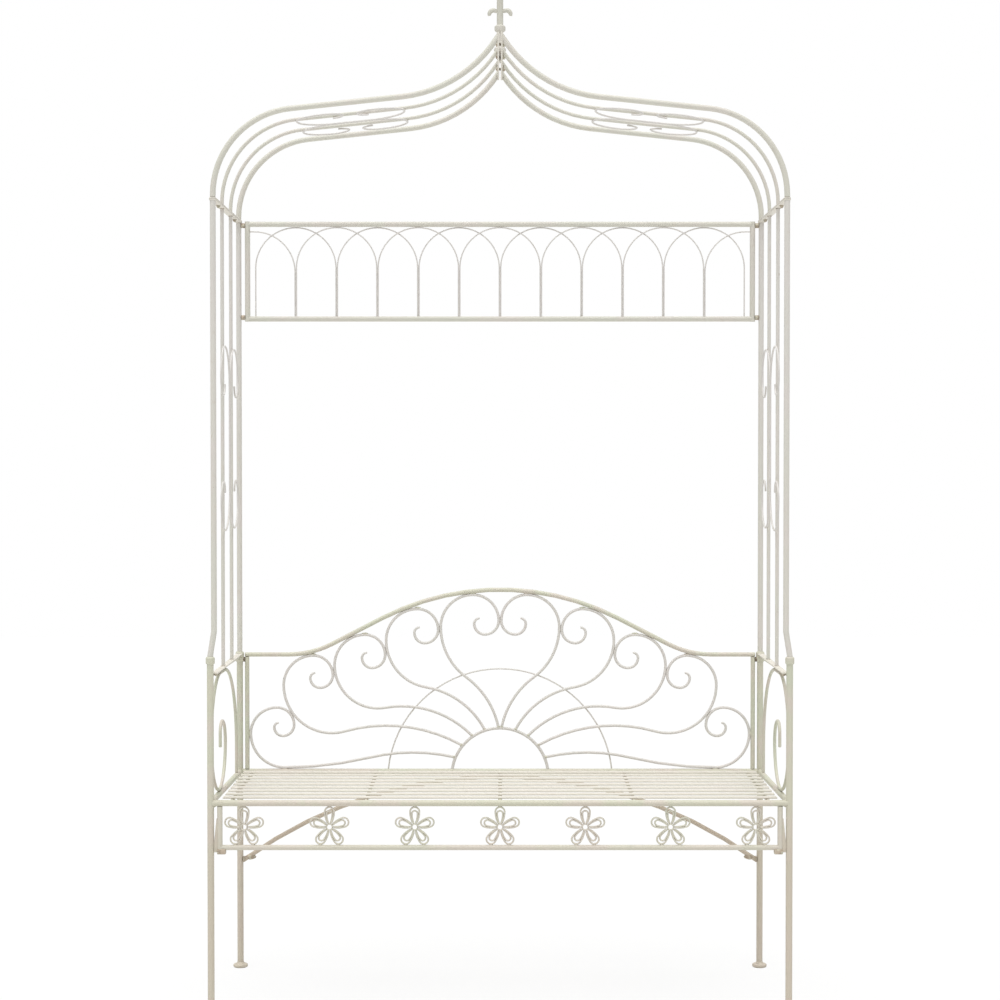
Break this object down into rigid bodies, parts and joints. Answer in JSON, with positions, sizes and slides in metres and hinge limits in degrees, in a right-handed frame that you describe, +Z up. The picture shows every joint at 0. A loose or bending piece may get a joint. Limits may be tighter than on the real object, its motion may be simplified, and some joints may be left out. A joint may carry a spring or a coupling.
{
  "type": "iron garden bench",
  "caption": "Free-standing painted iron arbour bench: slatted seat, scrolled sunburst backrest and arms, trellis sides, arched pelmet and a ribbed onion canopy with a finial.",
  "frame": {"origin": "on the floor, at the middle of the four feet", "axes": "+X to the right as seen from the front, +Y from the front to the back, +Z up"},
  "size_m": [1.233, 0.483, 2.2164],
  "materials": {
    "cream_paint": "antique cream paint, rubbed through to brown at joints",
    "worn_paint": "brown, paint rubbed away"
  },
  "bodies": {
    "root": {"apron_flower_1": "cream_paint", "apron_flower_2": "cream_paint", "apron_flower_3": "cream_paint", "apron_flower_4": "cream_paint", "apron_flower_5": "cream_paint", "apron_flower_6": "cream_paint", "apron_flower_7": "cream_paint", "apron_lower_rail": "cream_paint", "apron_posts": "cream_paint", "arm_rails": "cream_paint", "arm_scroll_left": "cream_paint", "arm_scroll_right": "cream_paint", "back_posts": "cream_paint", "back_scroll_left_1": "cream_paint", "back_scroll_left_2": "cream_paint", "back_scroll_left_3": "cream_paint", "back_scroll_left_4": "cream_paint", "back_scroll_left_5": "cream_paint", "back_scroll_right_1": "cream_paint", "back_scroll_right_2": "cream_paint", "back_scroll_right_3": "cream_paint", "back_scroll_right_4": "cream_paint", "back_scroll_right_5": "cream_paint", "back_spacers": "worn_paint", "back_top_rail": "cream_paint", "brace_lugs": "cream_paint", "finial_leaves": "cream_paint", "finial_stem": "cream_paint", "foot_discs": "cream_paint", "front_leg_left": "cream_paint", "front_leg_right": "cream_paint", "halo_arch": "cream_paint", "pelmet_arches": "cream_paint", "pelmet_posts": "cream_paint", "pelmet_rails": "cream_paint", "pelmet_spacers": "worn_paint", "rear_arch_brace": "cream_paint", "rear_leg_left": "cream_paint", "rear_leg_right": "cream_paint", "ridge_flats": "cream_paint", "roof_front_ribs": "cream_paint", "roof_rear_ribs": "cream_paint", "roof_scrolls": "cream_paint", "roof_sills": "cream_paint", "roof_thin_ribs": "cream_paint", "seat_back_rail": "cream_paint", "seat_cross_bars": "cream_paint", "seat_front_rail": "cream_paint", "seat_slats": "cream_paint", "side_rails": "cream_paint", "sun_arch": "cream_paint", "trellis_front_post_left": "cream_paint", "trellis_front_post_right": "cream_paint", "trellis_heads": "cream_paint", "trellis_rear_post_left": "cream_paint", "trellis_rear_post_right": "cream_paint", "trellis_scrolls": "cream_paint", "trellis_sills": "cream_paint", "trellis_thin_bars": "cream_paint"}
  },
  "joints": []
}
